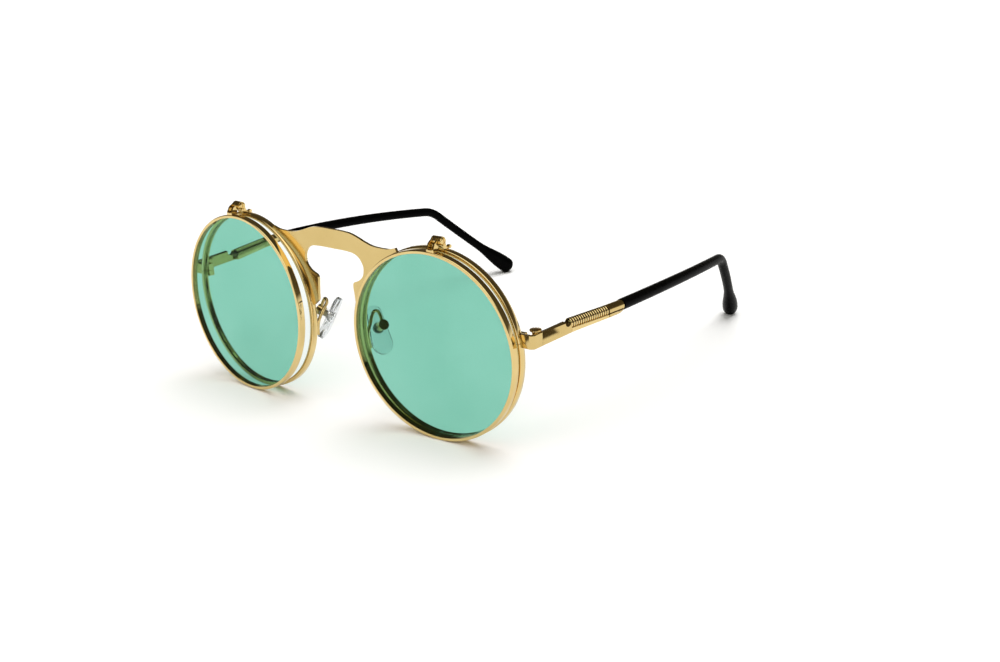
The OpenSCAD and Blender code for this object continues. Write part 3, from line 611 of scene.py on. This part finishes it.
for side in ("left", "right"):
    finished(f"{side}_rim", polished_gold, "gold", crease=50)
    add_flip_rim(side)
    add_grip(side)
    add_temple_screw(side)
    for part in ("flip_base", "flip_leaf", "flip_screw", "rim_lock_screw"):
        finished(f"{side}_{part}", polished_gold, "gold", rounding=0.04)
    finished(f"{side}_end_piece", satin_gold, "gold", rounding=0.12)
    finished(f"{side}_temple_bar", satin_gold, "gold", rounding=0.10)
    finished(f"{side}_temple_collar", satin_gold, "gold", rounding=0.08)
    finished(f"{side}_pad_arm", polished_gold, "gold", crease=40)
    finished(f"{side}_pad_screw", nickel, "steel")
    finished(f"{side}_pad_core", nickel, "steel")
    finished(f"{side}_core_wire", nickel, "steel", crease=60)
    finished(f"{side}_temple_tip", sleeve_plastic, "sleeve", crease=60)
    finished(f"{side}_nose_pad", pad_plastic, "pad_plastic", crease=50)
    finished(f"{side}_tinted_lens", tinted_glass, "tinted_lens")
    finished(f"{side}_clear_lens", clear_glass, "clear_lens")
finished("bridge_plate", satin_gold, "gold", rounding=0.07)


# Table and light
TABLE_SIZE = 6
TABLE_IN_THE_ROOM = 0.93
TABLE_WHITE = 1.07
GLOW_BEHIND_LENS = 0.6


def matt(tree, level):
    shader = tree.nodes.new("ShaderNodeBsdfDiffuse")
    shader.inputs["Color"].default_value = (level, level, level, 1)
    return shader


def add_table():
    """A big white table that keeps the soft shadow of the glasses, and glows a little behind the lenses."""
    mesh = bpy.data.meshes.new("table")
    corners = [(x * TABLE_SIZE, y * TABLE_SIZE, 0) for x, y in ((-1, -1), (1, -1), (1, 1), (-1, 1))]
    mesh.from_pydata(corners, [], [(0, 1, 2, 3)])
    table = bpy.data.objects.new("table", mesh)
    bpy.context.scene.collection.objects.link(table)
    made = bpy.data.materials.new("white table")
    made.use_nodes = True
    tree = made.node_tree
    tree.nodes.clear()
    output = tree.nodes.new("ShaderNodeOutputMaterial")
    glow = tree.nodes.new("ShaderNodeEmission")
    glow.inputs["Color"].default_value = (1, 1, 1, 1)
    glow.inputs["Strength"].default_value = 1
    through = tree.nodes.new("ShaderNodeMixShader")
    tree.links.new(maths(tree, "MULTIPLY", seen_directly(tree), GLOW_BEHIND_LENS), through.inputs["Fac"])
    tree.links.new(matt(tree, TABLE_IN_THE_ROOM).outputs[0], through.inputs[1])
    tree.links.new(glow.outputs[0], through.inputs[2])
    mix = tree.nodes.new("ShaderNodeMixShader")
    tree.links.new(tree.nodes.new("ShaderNodeLightPath").outputs["Is Camera Ray"], mix.inputs["Fac"])
    tree.links.new(through.outputs[0], mix.inputs[1])
    tree.links.new(matt(tree, TABLE_WHITE).outputs[0], mix.inputs[2])
    tree.links.new(mix.outputs[0], output.inputs["Surface"])
    mesh.materials.append(made)


CARD_DIRECTION = (0.15, -0.55, 0.80)
CARD_OUTER = 44
CARD_INNER = 30
CARD_LEVEL = 1.4
CARD_WHITE = (CARD_LEVEL, CARD_LEVEL, CARD_LEVEL * 0.97, 1)
SKY = ((0.0, (0.9, 0.9, 0.9, 1)), (0.04, (0.9, 0.9, 0.9, 1)), (0.16, (0.10, 0.085, 0.06, 1)),
       (0.5, (0.07, 0.058, 0.035, 1)), (1.0, (0.05, 0.045, 0.035, 1)))


def add_sky():
    """The room that shows in the metal and adds to the light: pale at the level of the table, dark above,
    with one soft white card high in front. The eye sees plain white, also through the lenses."""
    world = bpy.data.worlds.new("studio")
    bpy.context.scene.world = world
    world.use_nodes = True
    tree = world.node_tree
    tree.nodes.clear()
    output = tree.nodes.new("ShaderNodeOutputWorld")
    direction = tree.nodes.new("ShaderNodeTexCoord").outputs["Generated"]
    height = tree.nodes.new("ShaderNodeSeparateXYZ")
    tree.links.new(direction, height.inputs[0])
    ramp = tree.nodes.new("ShaderNodeValToRGB")
    stops = ramp.color_ramp.elements
    for place, shade in SKY[1:-1]:
        stops.new(place).color = shade
    stops[0].color, stops[-1].color = SKY[0][1], SKY[-1][1]
    tree.links.new(height.outputs["Z"], ramp.inputs[0])
    facing = tree.nodes.new("ShaderNodeVectorMath")
    facing.operation = "DOT_PRODUCT"
    facing.inputs[1].default_value = Vector(CARD_DIRECTION).normalized()
    tree.links.new(direction, facing.inputs[0])
    edge = tree.nodes.new("ShaderNodeMapRange")
    edge.interpolation_type = "SMOOTHSTEP"
    edge.inputs["From Min"].default_value = cos(radians(CARD_OUTER))
    edge.inputs["From Max"].default_value = cos(radians(CARD_INNER))
    tree.links.new(facing.outputs["Value"], edge.inputs["Value"])
    lit = tree.nodes.new("ShaderNodeMix")
    lit.data_type = "RGBA"
    lit.inputs["B"].default_value = CARD_WHITE
    tree.links.new(edge.outputs[0], lit.inputs["Factor"])
    tree.links.new(ramp.outputs["Color"], lit.inputs["A"])
    room = tree.nodes.new("ShaderNodeBackground")
    tree.links.new(lit.outputs["Result"], room.inputs["Color"])
    white = tree.nodes.new("ShaderNodeBackground")
    white.inputs["Color"].default_value = (1, 1, 1, 1)
    mix = tree.nodes.new("ShaderNodeMixShader")
    tree.links.new(seen_directly(tree), mix.inputs["Fac"])
    tree.links.new(room.outputs[0], mix.inputs[1])
    tree.links.new(white.outputs[0], mix.inputs[2])
    tree.links.new(mix.outputs[0], output.inputs["Surface"])


DAYLIGHT_DIRECTION = (-0.05, -0.32, -1)
DAYLIGHT_SPREAD = 52
DAYLIGHT_POWER = 2.0


def add_daylight():
    """One even, very soft light over the whole table, which shows in no reflection."""
    data = bpy.data.lights.new("overhead daylight", "SUN")
    data.angle = radians(DAYLIGHT_SPREAD)
    data.energy = DAYLIGHT_POWER
    lamp = bpy.data.objects.new("overhead daylight", data)
    bpy.context.scene.collection.objects.link(lamp)
    lamp.rotation_euler = Vector(DAYLIGHT_DIRECTION).to_track_quat("-Z", "Y").to_euler()
    lamp.visible_glossy = False


add_camera()
add_table()
add_sky()
add_daylight()
bpy.context.scene.view_settings.view_transform = "Standard"
